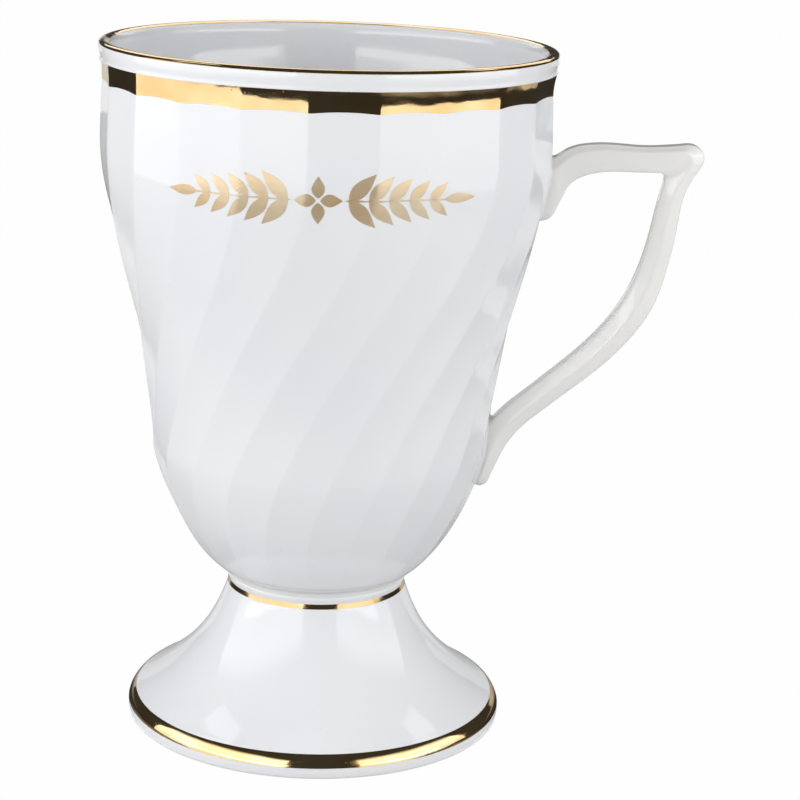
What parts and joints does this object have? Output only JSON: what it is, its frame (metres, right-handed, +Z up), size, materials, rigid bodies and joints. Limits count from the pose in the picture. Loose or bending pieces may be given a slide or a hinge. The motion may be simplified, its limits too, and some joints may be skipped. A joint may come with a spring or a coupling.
{
  "type": "footed coffee cup",
  "caption": "Footed porcelain coffee cup with a twisted faceted bowl, hollow bell foot, angled loop handle and gilded lines at the lip, rim, neck and foot.",
  "frame": {"origin": "on the table, at the middle of the cup's whole outline with its handle; the bowl's axis stands 13.6 mm towards -X of it", "axes": "+Z up along the cup's axis, +X from the bowl towards the handle, -Y is the front"},
  "size_m": [0.1122, 0.085, 0.1301],
  "materials": {
    "porcelain": "clear gloss glaze on white porcelain",
    "slip": "glazed porcelain slip",
    "gilding": "bright burnished gold"
  },
  "bodies": {
    "root": {"foot": "porcelain", "neck_slip": "slip", "bowl": "porcelain", "handle": "porcelain", "arm_slip": "slip", "tail_slip": "slip", "lip_gilt_line": "gilding", "rim_gilt_band": "gilding", "neck_gilt_line": "gilding", "foot_gilt_band": "gilding"}
  },
  "joints": []
}
